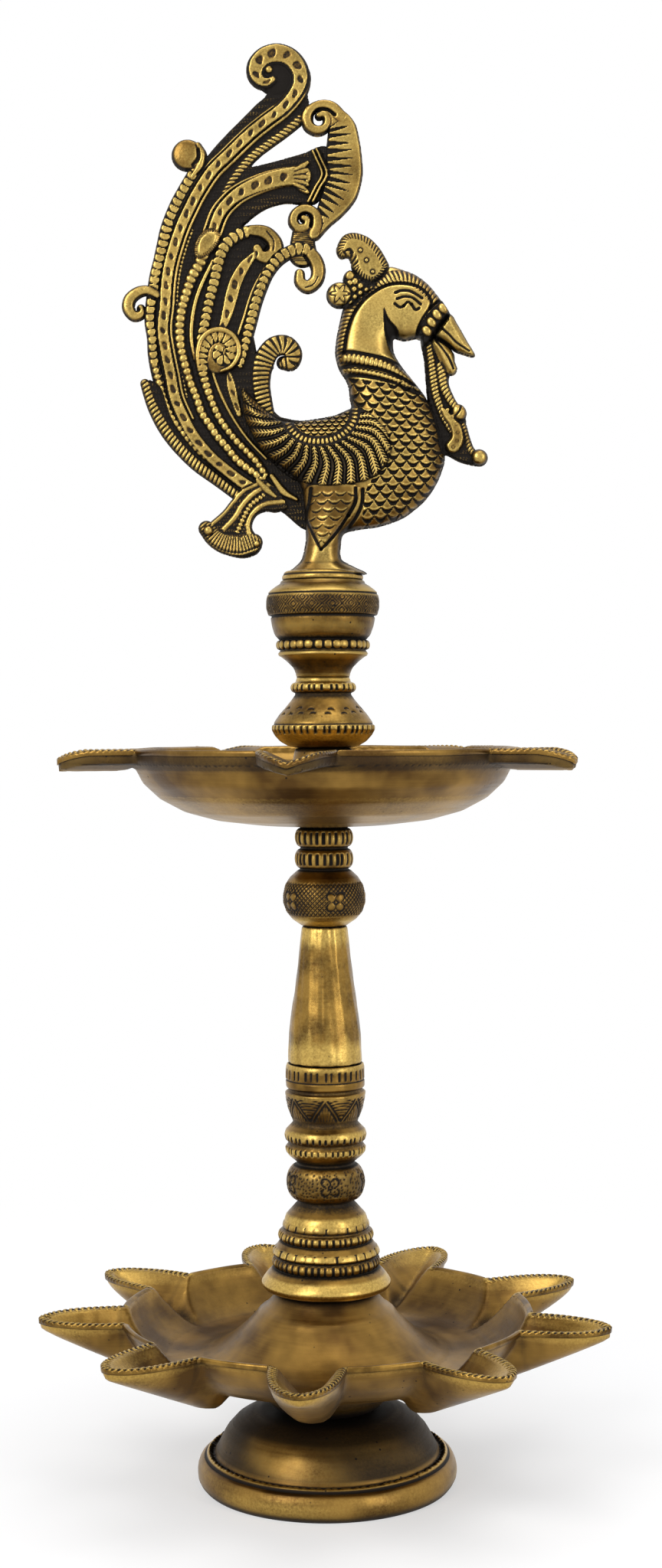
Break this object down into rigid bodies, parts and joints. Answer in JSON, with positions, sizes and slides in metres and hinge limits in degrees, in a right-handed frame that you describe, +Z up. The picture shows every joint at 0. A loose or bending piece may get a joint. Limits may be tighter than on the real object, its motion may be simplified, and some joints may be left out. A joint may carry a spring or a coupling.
{
  "type": "oil lamp with peacock finial",
  "caption": "Tall standing brass oil lamp: hollow bell foot, wide dish with boat-shaped wick spouts, turned stem, shallow upper bowl with flat lips, and a cast peacock on a vase-shaped knop.",
  "frame": {"origin": "on the lamp's turning axis, at floor level, in the middle of the foot", "axes": "+Z up along the stem; -Y towards the front, the side the picture shows; +X to the right of that view, the way the bird faces"},
  "size_m": [0.199, 0.1989, 0.507],
  "materials": {
    "cast_brass": "cast and wire-brushed, brown patina with rubbed highlights",
    "turned_brass": "turned and chased, dark patina in the grooves",
    "chased_brass": "cast and chased, near-black patina in the recesses, bright rubbed tops",
    "thread_brass": "plain turned brass, dull",
    "foot_bolt_steel": "plain bright steel bolt, nut and washer, slightly dulled"
  },
  "bodies": {
    "base": {"foot": "cast_brass", "foot_stud": "foot_bolt_steel", "foot_washer": "foot_bolt_steel", "foot_nut": "foot_bolt_steel", "lower_tray": "cast_brass", "stem_stud": "thread_brass"},
    "stem": {"lower_stem": "turned_brass", "shaft_stud": "thread_brass", "tapered_shaft": "turned_brass", "knop_stud": "thread_brass", "ball_knop": "turned_brass", "upper_tray_stud": "thread_brass"},
    "bowl": {"upper_tray": "cast_brass"},
    "finial": {"vase_base": "turned_brass", "vase_stud": "thread_brass", "vase_bowl": "turned_brass", "peacock_stud": "thread_brass"},
    "bird": {"peacock": "chased_brass"}
  },
  "joints": [
    {"name": "stem_screw", "type": "hinge", "parent": "base", "child": "stem", "pos_m": [0, 0, 0.068], "axis": [0, 0, 1], "range_deg": [0, 360]},
    {"name": "bowl_turn", "type": "hinge", "parent": "stem", "child": "bowl", "pos_m": [0, 0, 0.2325], "axis": [0, 0, 1], "continuous": true},
    {"name": "finial_screw", "type": "hinge", "parent": "stem", "child": "finial", "pos_m": [0, 0, 0.2606], "axis": [0, 0, 1], "range_deg": [0, 360]},
    {"name": "bird_screw", "type": "hinge", "parent": "finial", "child": "bird", "pos_m": [0, 0, 0.3194], "axis": [0, 0, 1], "range_deg": [0, 360]}
  ]
}
